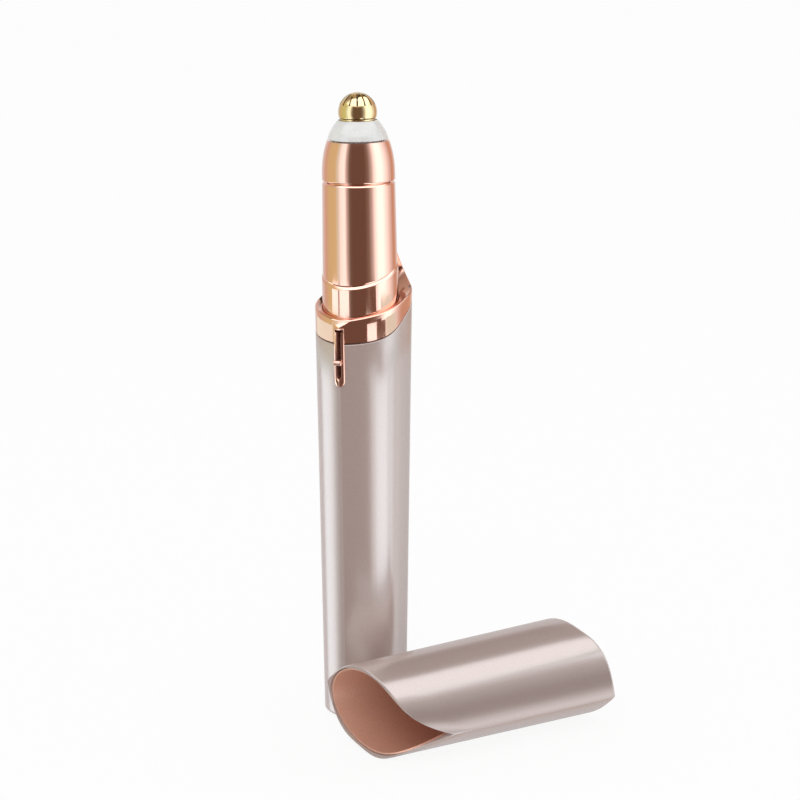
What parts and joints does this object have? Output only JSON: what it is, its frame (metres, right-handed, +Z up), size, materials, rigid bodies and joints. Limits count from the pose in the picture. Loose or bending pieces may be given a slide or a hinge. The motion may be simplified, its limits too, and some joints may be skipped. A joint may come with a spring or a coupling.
{
  "type": "electric eyebrow trimmer",
  "caption": "Slim battery eyebrow trimmer with a slotted dome cutting head on a polished barrel, a lens-shaped body, a slide switch, and its cap lying beside it.",
  "frame": {"origin": "on the floor, at the centre of the body's base, on the axis of the battery, motor and head", "axes": "+Z up along the trimmer towards its cutting head; +X along the lying cap, from its mouth towards its closed end. The body's front crest, with the switch, points between -Y and -X, 56.2 degrees from -Y."},
  "size_m": [0.0511, 0.0446, 0.1173],
  "materials": {
    "pearl_plastic": "satin pearl lacquer with fine metallic flake",
    "rose_gold_plating": "polished rose-gold plating on plastic",
    "copper_lining": "satin copper-coloured lacquer",
    "gold_plating": "polished yellow-gold plating on the cutting foil",
    "milky_plastic": "milky translucent moulding",
    "steel": "ground steel",
    "brass": "stamped brass strip",
    "sintered_bronze": "oil-soaked sintered bronze",
    "black_plastic": "fine moulded texture",
    "white_plastic": "plain moulded plastic",
    "rubber": "smooth black rubber",
    "ferrite": "fired ferrite",
    "enamelled_copper": "enamelled copper wire",
    "circuit_board": "green solder mask",
    "led_phosphor": "yellow phosphor gel",
    "battery_jacket": "plain printed film, no marks",
    "wire_insulation": "PVC insulation"
  },
  "bodies": {
    "root": {"body_shell": "pearl_plastic"},
    "cap": {"cap_shell": "pearl_plastic", "cap_liner": "copper_lining"},
    "carrier": {"shoulder_ring": "rose_gold_plating", "neck_collar": "rose_gold_plating", "motor_barrel": "rose_gold_plating", "motor_can": "steel", "motor_end_cap": "white_plastic", "front_bushing": "sintered_bronze", "rear_bushing": "sintered_bronze", "magnet_left": "ferrite", "magnet_right": "ferrite", "brush_front": "brass", "brush_back": "brass", "motor_terminal_left": "brass", "motor_terminal_right": "brass", "battery": "battery_jacket", "battery_spring": "steel", "negative_strip": "brass", "positive_contact": "brass", "carrier_back": "white_plastic", "carrier_front": "white_plastic", "carrier_screw_left": "steel", "carrier_screw_right": "steel", "switch_board": "circuit_board", "led_board": "circuit_board", "led_left": "led_phosphor", "led_right": "led_phosphor", "battery_wire": "wire_insulation", "switch_wire": "wire_insulation", "return_wire": "wire_insulation", "led_wire_left": "wire_insulation", "led_wire_right": "wire_insulation"},
    "switch": {"switch_slider": "rose_gold_plating", "switch_contact": "brass"},
    "seal": {"head_seal": "rubber"},
    "head": {"head_nose": "rose_gold_plating", "light_ring": "milky_plastic", "guard_dome": "gold_plating", "dome_retainer": "black_plastic"},
    "rotor": {"motor_shaft": "steel", "armature_core": "steel", "rotor_winding_1": "enamelled_copper", "rotor_winding_2": "enamelled_copper", "rotor_winding_3": "enamelled_copper", "commutator": "enamelled_copper", "drive_coupler": "white_plastic", "cutter_spring": "steel"},
    "cutter": {"cutter": "steel"}
  },
  "joints": [
    {"name": "cap_lift", "type": "slide", "parent": "root", "child": "cap", "axis": [0, 0, 1], "range_m": [0, 0.06]},
    {"name": "carrier_pull", "type": "slide", "parent": "root", "child": "carrier", "axis": [0, 0, 1], "range_m": [0, 0.085]},
    {"name": "switch_slide", "type": "slide", "parent": "carrier", "child": "switch", "axis": [0, 0, 1], "range_m": [0, 0.003]},
    {"name": "head_lift", "type": "slide", "parent": "carrier", "child": "seal", "axis": [0, 0, 1], "range_m": [0, 0.016]},
    {"name": "head_twist", "type": "hinge", "parent": "seal", "child": "head", "pos_m": [0, 0, 0.1031], "axis": [0, 0, 1], "continuous": true},
    {"name": "rotor_spin", "type": "hinge", "parent": "carrier", "child": "rotor", "pos_m": [0, 0, 0.0918], "axis": [0, 0, 1], "continuous": true},
    {"name": "cutter_float", "type": "slide", "parent": "rotor", "child": "cutter", "axis": [0, 0, 1], "range_m": [-0.0008, 0], "stiffness_N_per_m": 400, "springref_m": 0.002, "deforming": ["cutter_spring"]}
  ]
}
